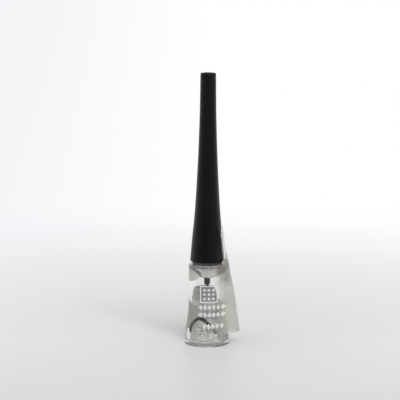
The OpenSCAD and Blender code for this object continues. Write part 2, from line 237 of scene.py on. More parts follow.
def lathe(outline, steps=SPIN_STEPS):
    """A closed bmesh turned about Z from an outline of points (radius, height)."""
    bm = bmesh.new()
    corners = [bm.verts.new((r, 0, z)) for r, z in outline]
    ring = [bm.edges.new(pair) for pair in zip(corners, corners[1:] + corners[:1])]
    bmesh.ops.spin(
        bm, geom=corners + ring, axis=(0, 0, 1), cent=(0, 0, 0), angle=TURN, steps=steps, use_merge=True
    )
    return closed(bm)


def closed(bm):
    """The bmesh with its doubles merged, its collapsed faces gone and its faces pointing outwards."""
    bmesh.ops.remove_doubles(bm, verts=bm.verts, dist=0.0005 * MM)
    bmesh.ops.dissolve_degenerate(bm, edges=bm.edges, dist=0.0005 * MM)
    bmesh.ops.recalc_face_normals(bm, faces=bm.faces)
    return bm


def sheet(columns, rows, place):
    """A grid whose vertices stand where place(u, v) says, for u and v from 0 to 1."""
    bm = bmesh.new()
    bmesh.ops.create_grid(bm, x_segments=columns, y_segments=rows, size=0.5)
    for v in bm.verts:
        v.co = place(v.co.x + 0.5, v.co.y + 0.5)
    return bm


def tube(sides, rings, place):
    """A closed tube: place(u, v) is a point at share u of its length and share v round it."""
    bm = sheet(rings, sides, place)
    bmesh.ops.remove_doubles(bm, verts=bm.verts, dist=0.0002 * MM)
    bmesh.ops.holes_fill(bm, edges=bm.edges, sides=sides)
    bmesh.ops.recalc_face_normals(bm, faces=bm.faces)
    return bm


def polar(r, azimuth, z):
    return Vector((r * math.cos(azimuth), r * math.sin(azimuth), z))


def at_front(r, front, z):
    """The point at this radius and height, front degrees to the right of the front."""
    return polar(r, math.radians(front - 90), z)


def front_of(point):
    """Degrees from the front to this point, from -180 to 180."""
    degrees = math.degrees(math.atan2(point.y, point.x)) + 90
    return degrees if degrees <= 180 else degrees - 360


def outward(point):
    return Vector((point.x, point.y, 0)).normalized()


def smooth_step(u):
    u = min(max(u, 0), 1)
    return u * u * (3 - 2 * u)


def straight_at(t, table):
    """The value at t, on straight lines through a table of (place, value)."""
    i = max([k for k in range(len(table) - 1) if t >= table[k][0]], default=0)
    (x0, y0), (x1, y1) = table[i], table[i + 1]
    return y0 + (y1 - y0) * min(max((t - x0) / (x1 - x0), 0), 1)


def curve_at(t, table):
    """The value at t, on a smooth curve through a table of (place, value)."""

    def slope(k):
        (x0, y0), (x1, y1) = table[max(k - 1, 0)], table[min(k + 1, len(table) - 1)]
        return (y1 - y0) / (x1 - x0)

    i = max([k for k in range(len(table) - 1) if t >= table[k][0]], default=0)
    (x0, y0), (x1, y1) = table[i], table[i + 1]
    w = x1 - x0
    u = (t - x0) / w
    bend = w * (slope(i) * u * (1 - u) ** 2 - slope(i + 1) * u * u * (1 - u))
    return y0 + (y1 - y0) * smooth_step(u) + bend


def bottle_r(z):
    return SHOULDER_R + (BASE_R - SHOULDER_R) * smooth_step(1 - z / FLARE_Z)


def cavity_r(z):
    return CAVITY_R + (CAVITY_BASE_R - CAVITY_R) * smooth_step(1 - z / FLARE_Z)


def cap_r(z):
    grown = curve_at(min(max((CAP_TOP - z) / (CAP_TOP - RIM_Z), 0), 1), CAP_FLARE_SHARES)
    return CAP_TIP_R + (CAP_RIM_R - CAP_TIP_R) * grown


# Materials


def new_material(name):
    """A node material: (material, nodes, links, its Principled shader)."""
    mat = bpy.data.materials.new(name)
    mat.use_nodes = True
    nodes, links = mat.node_tree.nodes, mat.node_tree.links
    return mat, nodes, links, nodes["Principled BSDF"]


def place_node(nodes):
    return nodes.new("ShaderNodeTexCoord").outputs["Object"]


def noise_node(nodes, links, size, detail=2.0, rough=0.5):
    """Noise whose blobs measure about size, in metres."""
    tex = nodes.new("ShaderNodeTexNoise")
    tex.inputs["Scale"].default_value = 1 / size
    tex.inputs["Detail"].default_value = detail
    tex.inputs["Roughness"].default_value = rough
    links.new(place_node(nodes), tex.inputs["Vector"])
    return tex.outputs["Fac"]


def cell_node(nodes, links, size):
    """Cells that measure about size: (distance within a cell, three random shares of each cell)."""
    tex = nodes.new("ShaderNodeTexVoronoi")
    tex.inputs["Scale"].default_value = 1 / size
    links.new(place_node(nodes), tex.inputs["Vector"])
    split = nodes.new("ShaderNodeSeparateColor")
    links.new(tex.outputs["Color"], split.inputs["Color"])
    return tex.outputs["Distance"], [split.outputs[k] for k in ("Red", "Green", "Blue")]


def ranged(nodes, links, source, low, high, new_low, new_high):
    """source from low to high, spread over new_low to new_high."""
    node = nodes.new("ShaderNodeMapRange")
    for key, value in zip(("From Min", "From Max", "To Min", "To Max"), (low, high, new_low, new_high)):
        node.inputs[key].default_value = value
    links.new(source, node.inputs["Value"])
    return node.outputs["Result"]


def maths(nodes, links, operation, *values):
    """One Math node over sockets or numbers."""
    node = nodes.new("ShaderNodeMath")
    node.operation = operation
    for socket, value in zip(node.inputs, values):
        if isinstance(value, (int, float)):
            socket.default_value = value
        else:
            links.new(value, socket)
    return node.outputs["Value"]


def ramp(nodes, links, source, stops):
    """A colour ramp over source, from stops of (place, colour)."""
    node = nodes.new("ShaderNodeValToRGB")
    marks = node.color_ramp.elements
    while len(marks) < len(stops):
        marks.new(0.5)
    for mark, (at, colour) in zip(marks, stops):
        mark.position = at
        mark.color = (*colour, 1)
    links.new(source, node.inputs["Fac"])
    return node.outputs["Color"]


def mixed(nodes, links, share, first, second, blend="MIX"):
    """Two colours mixed by share. Each is a socket or a colour."""
    node = nodes.new("ShaderNodeMix")
    node.data_type = "RGBA"
    node.blend_type = blend
    for key, value in (("Factor", share), ("A", first), ("B", second)):
        if isinstance(value, bpy.types.NodeSocket):
            links.new(value, node.inputs[key])
        else:
            node.inputs[key].default_value = value if key == "Factor" else (*value, 1)
    return node.outputs["Result"]


def bumped(nodes, links, shader, height, depth, strength=1.0):
    node = nodes.new("ShaderNodeBump")
    node.inputs["Distance"].default_value = depth
    node.inputs["Strength"].default_value = strength
    links.new(height, node.inputs["Height"])
    links.new(node.outputs["Normal"], shader.inputs["Normal"])


def grey(value):
    return (value, value, value)


def set_inputs(shader, **values):
    """Sets the shader's own sockets: Base_Color=..., Roughness=... and so on."""
    for key, value in values.items():
        shader.inputs[key.replace("_", " ")].default_value = value


def lit_through(nodes, links, shader):
    """Lets light from lamps pass this clear surface, so that what is inside is lit."""
    path = nodes.new("ShaderNodeLightPath")
    clear = nodes.new("ShaderNodeBsdfTransparent")
    mix = nodes.new("ShaderNodeMixShader")
    links.new(path.outputs["Is Shadow Ray"], mix.inputs["Fac"])
    links.new(shader.outputs["BSDF"], mix.inputs[1])
    links.new(clear.outputs["BSDF"], mix.inputs[2])
    links.new(mix.outputs["Shader"], nodes["Material Output"].inputs["Surface"])


def clear_plastic():
    mat, nodes, links, shader = new_material("clear_plastic")
    set_inputs(
        shader, Base_Color=(0.98, 0.985, 0.98, 1), Transmission_Weight=1.0, IOR=1.49, Roughness=0.015
    )
    bumped(nodes, links, shader, noise_node(nodes, links, 2.2 * MM, 3.0), 0.03 * MM, 0.5)
    lit_through(nodes, links, shader)
    return mat


def moulded_plastic(name, low, high, blotch, rough, rough_blotch, grain, grain_depth, **values):
    """Moulded plastic: its colour wanders from low to high, and a fine grain breaks up its shine. Blotch,
    rough_blotch and grain are the sizes of their noise."""
    mat, nodes, links, shader = new_material(name)
    tone = ramp(nodes, links, noise_node(nodes, links, blotch, 4.0), [(0.3, low), (0.7, high)])
    links.new(tone, shader.inputs["Base Color"])
    shine = ranged(nodes, links, noise_node(nodes, links, rough_blotch, 4.0), 0.3, 0.7, *rough)
    links.new(shine, shader.inputs["Roughness"])
    bumped(nodes, links, shader, noise_node(nodes, links, grain, 2.0), grain_depth, 0.6)
    set_inputs(shader, **values)
    return mat


def cap_black():
    """Satin black, and dull on the flat of its tip."""
    mat = moulded_plastic(
        "cap_black_satin", (0.0022, 0.0019, 0.0034), (0.0036, 0.0031, 0.0052), blotch=3 * MM,
        rough=(0.3, 0.38), rough_blotch=1.2 * MM, grain=0.12 * MM, grain_depth=0.004 * MM,
        Specular_IOR_Level=0.2,
    )
    nodes, links = mat.node_tree.nodes, mat.node_tree.links
    roughness = nodes["Principled BSDF"].inputs["Roughness"]
    facing = nodes.new("ShaderNodeSeparateXYZ")
    links.new(nodes.new("ShaderNodeNewGeometry").outputs["Normal"], facing.inputs["Vector"])
    tip_roughness = 0.9
    dull = ranged(nodes, links, facing.outputs["Z"], 0.5, 0.9, 0, tip_roughness)
    links.new(maths(nodes, links, "MAXIMUM", roughness.links[0].from_socket, dull), roughness)
    return mat


def collar_plastic():
    return moulded_plastic(
        "collar_dark_plastic", (0.055, 0.05, 0.05), (0.11, 0.102, 0.102), blotch=0.7 * MM,
        rough=(0.42, 0.55), rough_blotch=0.5 * MM, grain=0.15 * MM, grain_depth=0.006 * MM,
    )


def stem_black():
    return moulded_plastic(
        "stem_black_gloss", grey(0.002), grey(0.004), blotch=1 * MM,
        rough=(0.2, 0.34), rough_blotch=0.4 * MM, grain=0.1 * MM, grain_depth=0.003 * MM,
        Specular_IOR_Level=0.08,
    )


def natural_plastic():
    return moulded_plastic(
        "wiper_natural_plastic", (0.62, 0.61, 0.58), (0.7, 0.69, 0.66), blotch=1.5 * MM,
        rough=(0.35, 0.5), rough_blotch=0.4 * MM, grain=0.2 * MM, grain_depth=0.005 * MM,
        Subsurface_Weight=0.3, Subsurface_Radius=(0.8 * MM, 0.8 * MM, 0.7 * MM),
    )


def seal_foam():
    mat, nodes, links, shader = new_material("seal_white_foam")
    depth, _ = cell_node(nodes, links, 0.12 * MM)
    tone = ramp(nodes, links, depth, [(0.0, grey(0.55)), (0.5, grey(0.74))])
    links.new(tone, shader.inputs["Base Color"])
    set_inputs(shader, Roughness=0.85)
    bumped(nodes, links, shader, depth, 0.02 * MM, 0.7)
    return mat


def bristle_black():
    mat, nodes, links, shader = new_material("bristle_black_nylon")
    streaks = nodes.new("ShaderNodeTexNoise")
    stretch = nodes.new("ShaderNodeMapping")
    streak_w, streak_h = 0.03 * MM, 1.5 * MM
    stretch.inputs["Scale"].default_value = (1 / streak_w, 1 / streak_w, 1 / streak_h)
    links.new(place_node(nodes), stretch.inputs["Vector"])
    links.new(stretch.outputs["Vector"], streaks.inputs["Vector"])
    fac = streaks.outputs["Fac"]
    tone = ramp(nodes, links, fac, [(0.3, (0.007, 0.006, 0.006)), (0.7, (0.022, 0.018, 0.016))])
    links.new(tone, shader.inputs["Base Color"])
    links.new(ranged(nodes, links, fac, 0.3, 0.7, 0.28, 0.42), shader.inputs["Roughness"])
    return mat


def glitter_gel(name, level, contrast, darkened, pale):
    """Silver grey gel of this level of grey, full of fine flakes, each turned its own way. Darkened and pale
    are (from height, to height, share): from the one height to the other it goes darker, or paler. The calls
    say where these bands are painted shade and painted light."""
    mat, nodes, links, shader = new_material(name)
    cloud = noise_node(nodes, links, 2.5 * MM, 3.0)
    _, (brightness, metal, _) = cell_node(nodes, links, 0.2 * MM)
    tone = ramp(nodes, links, cloud, [
        (0.3, (0.93 * level, 0.92 * level, 0.885 * level)),
        (0.7, (1.07 * level, 1.055 * level, 1.02 * level)),
    ])
    fleck = ramp(nodes, links, brightness, [
        (0.0, grey(0.5 - contrast)), (0.5, grey(0.5)),
        (0.8, grey(0.5 + 0.5 * contrast)), (1.0, grey(0.5 + contrast)),
    ])
    flecked = mixed(nodes, links, 1.0, tone, fleck, "LINEAR_LIGHT")
    axes = nodes.new("ShaderNodeSeparateXYZ")
    links.new(place_node(nodes), axes.inputs["Vector"])
    # The darkened band is painted shade on the cone and coat, and only a darker band on the main gel. The
    # pale band is painted light on gel that lies in shade.
    for (start, end, share), colour in ((darkened, grey(0.02)), (pale, grey(0.95))):
        changed = ranged(nodes, links, axes.outputs["Z"], start, end, 0, share)
        flecked = mixed(nodes, links, changed, flecked, colour)
    links.new(flecked, shader.inputs["Base Color"])
    links.new(ranged(nodes, links, metal, 0.6, 1.0, 0.05, 0.5), shader.inputs["Metallic"])
    set_inputs(shader, Roughness=0.4)
    bumped(nodes, links, shader, brightness, 0.03 * MM, 0.5)
    return mat


def flake_silver():
    mat, nodes, links, shader = new_material("flake_silver")
    _, (pick, _, _) = cell_node(nodes, links, 0.35 * MM)
    tone = ramp(nodes, links, pick, [
        (0.0, (0.3, 0.29, 0.28)), (0.35, (0.6, 0.57, 0.56)),
        (0.6, (0.86, 0.82, 0.81)), (1.0, (0.98, 0.97, 0.96)),
    ])
    links.new(tone, shader.inputs["Base Color"])
    set_inputs(shader, Metallic=0.25, Roughness=0.32)
    return mat


# Near black with ragged grey: painted shade for the gel's creases.
def crease_shade_material():
    mat, nodes, links, shader = new_material("crease_painted_shade")
    tone = ramp(nodes, links, noise_node(nodes, links, 0.35 * MM, 4.0, 0.7), [
        (0.35, (0.03, 0.03, 0.029)), (0.62, (0.07, 0.069, 0.067)), (0.75, (0.2, 0.2, 0.195)),
    ])
    links.new(tone, shader.inputs["Base Color"])
    set_inputs(shader, Roughness=0.6)
    bumped(nodes, links, shader, noise_node(nodes, links, 0.2 * MM, 3.0), 0.02 * MM, 0.6)
    return mat


def film_attribute(nodes, name):
    node = nodes.new("ShaderNodeAttribute")
    node.attribute_name = name
    return node.outputs["Fac"]


def sleeve_film():
    """Thin film: nearly unseen on the bottle, hazy where it stands free, olive or milky over the ear, and
    white where it is folded or torn. The olive is partly the film's tint and partly painted shade that
    deepens towards the cap, and the white is partly whitened film and partly a painted highlight along those
    edges. The mesh says where with its attributes."""
    mat, nodes, links, shader = new_material("sleeve_film")
    free, olive_shade, milky, fold_glare = [film_attribute(nodes, name) for name in FILM_LOOKS]
    haze = noise_node(nodes, links, 3 * MM, 3.0)
    body = ramp(nodes, links, haze, [(0.3, (0.4, 0.385, 0.35)), (0.7, (0.47, 0.45, 0.425))])
    # The olive patch: partly the film's tint, partly painted shade under the cap.
    patch = ranged(nodes, links, olive_shade, 0.7, 1, 0, 0.8)
    pale = mixed(nodes, links, maths(nodes, links, "MULTIPLY", milky, 0.8), body, (0.61, 0.63, 0.54))
    olive = mixed(nodes, links, patch, pale, (0.25, 0.245, 0.19))
    # White where folded or torn: partly whitened film, partly a painted highlight.
    links.new(mixed(nodes, links, fold_glare, olive, (0.95, 0.95, 0.95)), shader.inputs["Base Color"])
    seen = maths(nodes, links, "MULTIPLY_ADD", olive_shade, 0.3, ranged(nodes, links, free, 0, 1, 0.015, 0.205))
    seen = maths(nodes, links, "MULTIPLY_ADD", milky, 0.24, seen)
    fold_glare_alpha = maths(nodes, links, "MULTIPLY", fold_glare, 0.95)
    links.new(maths(nodes, links, "MAXIMUM", seen, fold_glare_alpha), shader.inputs["Alpha"])
    links.new(maths(nodes, links, "MULTIPLY", fold_glare, 0.6), shader.inputs["Transmission Weight"])
    rough = ranged(nodes, links, noise_node(nodes, links, 1 * MM, 3.0), 0.3, 0.7, 0.12, 0.26)
    links.new(rough, shader.inputs["Roughness"])
    set_inputs(shader, IOR=1.5, Specular_IOR_Level=0.2)
    bumped(nodes, links, shader, noise_node(nodes, links, 0.7 * MM, 3.0), 0.02 * MM, 0.5)
    return mat


def white_ink():
    mat, nodes, links, shader = new_material("white_ink")
    wear = noise_node(nodes, links, 0.25 * MM, 4.0, 0.7)
    tone = ramp(nodes, links, wear, [(0.3, grey(0.6)), (0.6, grey(0.78))])
    links.new(tone, shader.inputs["Base Color"])
    set_inputs(shader, Roughness=0.45)
    bumped(nodes, links, shader, noise_node(nodes, links, 0.1 * MM, 2.0), 0.005 * MM, 0.4)
    return mat


# The bottle


def neck_ridge():
    """The helical ridge on the neck, with both ends run out."""
    outline = [
        (-RIDGE_SINK, -RIDGE_ROOT / 2), (RIDGE_REACH, -RIDGE_CREST / 2),
        (RIDGE_REACH, RIDGE_CREST / 2), (-RIDGE_SINK, RIDGE_ROOT / 2),
    ]
    sides = len(outline)
    fades = 8 * RIDGE_TURNS

    def place(u, v):
        out, up = outline[round(v * sides) % sides]
        fade = min(1, u * fades + 0.1, (1 - u) * fades + 0.1)
        return polar(NECK_R + (out * fade if out > 0 else out), u * RIDGE_TURNS * TURN,
                     RIDGE_Z + up + u * RIDGE_TURNS * PITCH)

    steps_a_turn = 48
    return tube(sides, round(RIDGE_TURNS * steps_a_turn), place)


def make_bottle(material):
    """The clear bottle: its outline spun, and the ridge joined to its neck."""
    foot_r = BASE_R - FOOT_RING_W
    heel_r = bottle_r(BOTTLE_EDGE)
    floor_edge = FLOOR_Z + CAVITY_CORNER
    outline = [
        (0, FOOT_RECESS), (foot_r - FOOT_RECESS, FOOT_RECESS), (foot_r, 0),
        *arc(heel_r - BOTTLE_EDGE, BOTTLE_EDGE, BOTTLE_EDGE, -90, 0),
        *[(bottle_r(z), z) for z in steps_between(BOTTLE_EDGE, FLARE_Z, 28)],
        *[(SHOULDER_R, z) for z in steps_between(FLARE_Z, SHOULDER_Z - BOTTLE_EDGE, 8)[:-1]],
        *arc(SHOULDER_R - BOTTLE_EDGE, SHOULDER_Z - BOTTLE_EDGE, BOTTLE_EDGE, 0, 90),
        (NECK_R, SHOULDER_Z), (NECK_R, LIP_Z - LIP_CHAMFER), (NECK_R - LIP_CHAMFER, LIP_Z),
        (BORE_R, LIP_Z), (BORE_R, CAVITY_TOP),
        *arc(CAVITY_R - CAVITY_CORNER, CAVITY_TOP - CAVITY_CORNER, CAVITY_CORNER, 90, 0),
        *[(cavity_r(z), z) for z in reversed(steps_between(floor_edge, FLARE_Z, 24))],
        *arc(cavity_r(floor_edge) - CAVITY_CORNER, floor_edge, CAVITY_CORNER, 0, -90),
        (0, FLOOR_Z),
    ]
    blanks = []
    for name, bm in (("bottle_blank", lathe(outline)), ("ridge_blank", neck_ridge())):
        mesh = bpy.data.meshes.new(name)
        bm.to_mesh(mesh)
        bm.free()
        blanks.append(bpy.data.objects.new(name, mesh))
        bpy.context.scene.collection.objects.link(blanks[-1])
    body, ridge = blanks
    join = body.modifiers.new("join", "BOOLEAN")
    join.object = ridge
    join.operation = "UNION"
    join.solver = "EXACT"
    bpy.context.view_layer.update()
    joined = bpy.data.meshes.new_from_object(body.evaluated_get(bpy.context.evaluated_depsgraph_get()))
    for blank in blanks:
        bpy.data.objects.remove(blank)
    joined.name = "bottle_clear"
    joined.materials.clear()
    piece = linked("bottle_clear", joined, material)
    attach(piece, "bottle_body")
    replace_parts(piece, "bottle")


# The gel


def brush_bow(z):
    """How far to the right of the axis the bowed brush stands at this height."""
    return BRUSH_BOW * math.sin(TURN / 4 * min(max((STEM_BOTTOM - z) / BRUSH_BOW_H, 0), 1))


def gel_side_r(front, z):
    """Radius of the gel's side: it wets the wall, but not above the contact line or in the low patch."""
    wet = cavity_r(z) + WET
    patch_rim, draw_in_h = 0.4 * MM, 2.2 * MM
    parted = smooth_step((straight_at(front, PATCH_EDGE) * MM - z) / patch_rim) * PARTED
    risen = min(max((z - straight_at(front, CONTACT_LINE) * MM + 0.3 * MM) / draw_in_h, 0), 1)
    return wet - parted + (GEL_UPPER_R - wet) * risen


def make_gel(material):
    """The gel in the bottle: the brush's well is in it, and its top falls away to the right."""
    floor = FLOOR_Z - WET
    low = floor + CAVITY_CORNER
    edge_z = GEL_TOP - GEL_ROUND
    well_bottom = TUFT_TIP - 0.15 * MM
    flat_r = GEL_UPPER_R - GEL_ROUND
    low_r = cavity_r(low) + WET

    def side_r(z):
        """The outline's own radius: the wet wall, drawn in to the upper gel's radius at the top."""
        drawn = smooth_step((z - edge_z) / (0.1 * MM) + 1)
        return cavity_r(z) + WET + (GEL_UPPER_R - CAVITY_R - WET) * drawn

    outline = [
        (0, floor), *arc(low_r - CAVITY_CORNER, low, CAVITY_CORNER, -90, 0),
        *[(side_r(z), z) for z in steps_between(low, edge_z, 72)],
        *arc(flat_r, edge_z, GEL_ROUND, 0, 90)[1:],
        *[(flat_r + (WELL_R - flat_r) * i / 12, GEL_TOP) for i in range(1, 12)],
        (WELL_R, GEL_TOP),
        *[(WELL_R, z) for z in reversed(steps_between(well_bottom + WELL_R, GEL_TOP, 16)[:-1])],
        (WELL_R, well_bottom + WELL_R), (0, well_bottom),
    ]
    bm = lathe(outline, 192)
    near_well = WELL_R + 0.1 * MM
    lump_size, grain_size = 2.6 * MM, 0.8 * MM
    lump_out, lump_up = 0.7, 0.35
    for v in bm.verts:
        r = math.hypot(v.co.x, v.co.y)
        z = v.co.z
        front = front_of(v.co)
        if r > near_well and z < edge_z + 0.01 * MM:
            v.co += outward(v.co) * (gel_side_r(front, z) - side_r(z)) * (r / side_r(z))
        skin = smooth_step((r - WELL_R) / (1 * MM))
        loose = skin * smooth_step((z - straight_at(front, CONTACT_LINE) * MM + 0.4 * MM) / (1.6 * MM))
        lump = noise.noise(v.co / lump_size) * 0.4 + noise.noise(v.co / grain_size) * 0.13
        v.co += outward(v.co) * lump * loose * lump_out * MM
        fallen = smooth_step((v.co.x - 2.4 * MM) / (2.6 * MM)) * skin
        if z > SLUMP_Z:
            v.co.z += lump * loose * lump_up * MM - (z - SLUMP_Z) * 0.92 * fallen
        if r < near_well and z > well_bottom:
            v.co.x += brush_bow(z)
    return piece_of("gel_mass", closed(bm), material, "bottle_body")


def make_gel_cone(material):
    """Gel that clings under the shoulder: it wets the shoulder and narrows round the wiper."""
    wet_top = CAVITY_TOP + WET
    corner = CAVITY_CORNER + WET
    bottom = CAVITY_TOP - CONE_H
    ring_r = WIPER_R + 0.05 * MM
    top = arc(CAVITY_R + WET - corner, wet_top - corner, corner, 30, 90, 5)
    top_r, top_z = top[0]
    steps, bow = 14, 0.92
    spread, rise = top_r - CONE_BOTTOM_R, top_z - bottom
    side = [(CONE_BOTTOM_R + spread * (i / steps) ** bow, bottom + rise * i / steps) for i in range(steps)]
    bm = lathe([(ring_r, bottom), *side, *top, (ring_r, wet_top)])
    lump_size, grain_size = 1.3 * MM, 0.5 * MM
    for v in bm.verts:
        r = math.hypot(v.co.x, v.co.y)
        loose = smooth_step((r - ring_r) / (0.4 * MM)) * smooth_step((top_z - v.co.z) / (0.8 * MM))
        lump = noise.noise(v.co / lump_size) * 0.3 + noise.noise(v.co / grain_size) * 0.15
        v.co += Vector((v.co.x, v.co.y, -0.6 * r)).normalized() * lump * loose * MM
    return piece_of("gel_cone", closed(bm), material, "bottle_body")


def make_coat(material):
    """The thin coat that gel has left on the wall under the shoulder: a closed shell, thin at its edges."""
    columns, rows = 180, 20
    thick = 0.12 * MM
    ceiling = CAVITY_TOP - 0.2 * MM

    def place(u, v):
        front = (u - 0.5) * 360
        ragged = noise.noise(Vector((front * 0.09, 0, 5))) * 0.3 * MM
        low = min(straight_at(front, COAT_LOW) * MM + ragged, ceiling - 0.1 * MM)
        high = straight_at(front, COAT_TOP) * MM if front < COAT_TOP[-1][0] else ceiling
        high = min(max(high, low + 0.1 * MM), ceiling)
        rise = (1 - math.cos(v * TURN)) / 2
        z = low + (high - low) * rise
        corner = max(z - (CAVITY_TOP - CAVITY_CORNER), 0)
        inset = CAVITY_CORNER - math.sqrt(CAVITY_CORNER**2 - corner**2)
        inner = thick * max(-math.sin(v * TURN), 0)
        return at_front(CAVITY_R + WET - inset - inner, front, z)

    return piece_of("gel_coat", closed(sheet(columns, rows, place)), material, "bottle_body")


def scatter_flakes(material):
    """Hexagonal glitter flakes in the face of the gel: thick in front and at the right, few at the left,
    none on the arch. More lie in the cone, under the shoulder, and on the coat in front and at the right."""
    draw = random.Random(11)
    whole = bmesh.new()
    least, most, tilt = 0.11, 0.26, 0.35
    thick = 0.012 * MM
    on_side, in_cone, on_ceiling, on_wall = 6800, 1500, 600, 700

    def flake(at, out):
        size = draw.uniform(least, most) * MM
        tilted = out + Vector((draw.gauss(0, tilt), draw.gauss(0, tilt), draw.gauss(0, tilt)))
        turn = tilted.normalized().to_track_quat("Z", "Y").to_matrix().to_4x4()
        spin = Matrix.Rotation(draw.uniform(0, TURN), 4, "Z")
        part = bmesh.new()
        bmesh.ops.create_cone(
            part, cap_ends=True, segments=6, radius1=size, radius2=size, depth=thick,
            matrix=Matrix.Translation(at) @ turn @ spin,
        )
        add_part(whole, part)

    for _ in range(on_side):
        front = draw.uniform(-180, 180)
        z = draw.uniform(FLOOR_Z + 0.6 * MM, 16 * MM)
        crowd = 0.08 + 0.92 * smooth_step((front + 40) / 18) * smooth_step((150 - front) / 70)
        on_arch = ARCH[0][0] < front < ARCH[-1][0] and abs(z / MM - straight_at(front, PATCH_EDGE)) < 0.7
        if draw.random() < crowd and not on_arch:
            flake(at_front(gel_side_r(front, z) + 0.2 * WET, front, z), at_front(1, front, 0))
    cone_rise = CONE_H - CAVITY_CORNER
    for _ in range(in_cone):
        front = draw.uniform(-180, 180)
        share = math.sqrt(draw.random())
        r = CONE_BOTTOM_R + (CAVITY_R - CONE_BOTTOM_R) * share
        z = CAVITY_TOP - CONE_H + cone_rise * share
        flake(at_front(r + 0.1 * MM, front, z), at_front(1, front, -0.9).normalized())
    for _ in range(on_ceiling):
        r = draw.uniform(WIPER_R + 0.2 * MM, CAVITY_R - 0.3 * MM)
        flake(at_front(r, draw.uniform(-180, 180), CAVITY_TOP + 1.3 * WET), Vector((0, 0, 2)))
    for _ in range(on_wall):
        front = draw.uniform(-26, 75)
        z = draw.uniform(straight_at(front, COAT_LOW) - 0.3, 29.7) * MM
        if front > -18 or z > straight_at(front, COAT_TOP) * MM:
            flake(at_front(CAVITY_R + 0.6 * WET - 0.03 * MM, front, z), at_front(1, front, 0))
    return piece_of("gel_flakes", whole, material, "bottle_body")


def add_crease(whole, points, width):
    """A ragged dark line of painted shade on the cavity's wall, through points of (degrees from the front,
    height in mm).
    """
    along = [i / (len(points) - 1) for i in range(len(points))]
    fronts = list(zip(along, [p[0] for p in points]))
    heights = list(zip(along, [p[1] for p in points]))
    look, depth = 0.01, 0.16 * MM

    def middle(t):
        return curve_at(t, fronts), curve_at(t, heights) * MM

    def place(u, v):
        front, z = middle(u)
        ahead, z_ahead = middle(min(u + look, 1))
        behind, z_behind = middle(max(u - look, 0))
        run = Vector((math.radians(ahead - behind) * CAVITY_R, z_ahead - z_behind)).normalized()
        across = math.cos(v * TURN)
        ragged = 1 + 0.6 * noise.noise(Vector((u * 18 + width / MM, across * 0.8, 0)))
        half = width / 2 * ragged * min(1, 0.3 + 8 * u, 0.3 + 8 * (1 - u))
        deep = depth * min(math.sin(v * TURN), 0)
        z += run.x * across * half
        front -= math.degrees(run.y * across * half / CAVITY_R)
        return at_front(cavity_r(z) + 1.6 * WET + deep, front, z)

    add_part(whole, closed(tube(12, 72, place)))


def make_creases(material):
    """Dark lines of painted shade where the gel parts from the wall: the arch, the stroke at its right, and
    a line along the coat's upper edge.
    """
    whole = bmesh.new()
    add_crease(whole, ARCH, 1.2 * MM)
    add_crease(whole, STROKE, 0.6 * MM)
    add_crease(whole, COAT_TOP[1:], 0.5 * MM)
    return piece_of("gel_crease", whole, material, "bottle_body")


# The sleeve


def film_body_r(z):
    """Radius of the film where it hugs: the bottle's, and drawn in a little towards the cap above it."""
    drawn = smooth_step((z - SHOULDER_Z - 3 * MM) / (6 * MM))
    tube_r = bottle_r(min(z, SHOULDER_Z)) + FILM_GAP
    return tube_r + (FILM_STRIP_R - tube_r) * drawn


def ear_x(z):
    """How far from the axis the ear's crease stands. It bows a little, and closes above the shoulder."""
    close_r = SHOULDER_R + FILM_GAP
    up = (z - FILM_FOOT) / (EAR_TOP_Z - FILM_FOOT)
    bulge = EAR_BULGE * smooth_step(up / 0.45) * smooth_step((1 - up) / 0.2)
    return EAR_FOOT_X - FILM_T + bulge + (close_r - EAR_FOOT_X) * up


def torn_edge_z(degrees):
    """Height of the film's upper edge at this azimuth, with the small teeth of the tear."""
    share = straight_at(degrees, TEAR_SHARES)
    teeth = 0.5 * noise.noise(Vector((degrees * 0.4, 0, 3))) * min(share * 8, 1) * MM
    top = SHOULDER_Z - BOTTLE_EDGE
    return min(top + (TEAR_Z - top) * share + teeth, TEAR_Z)


def film_stand(degrees, z):
    """How far the film stands from the axis: a tube that the two tangents of the ear leave."""
    r, x = film_body_r(z), ear_x(z)
    half = math.acos(r / x) if x > r else 0
    off = abs(math.radians(degrees))
    return r / math.cos(half - off) if off < half else r


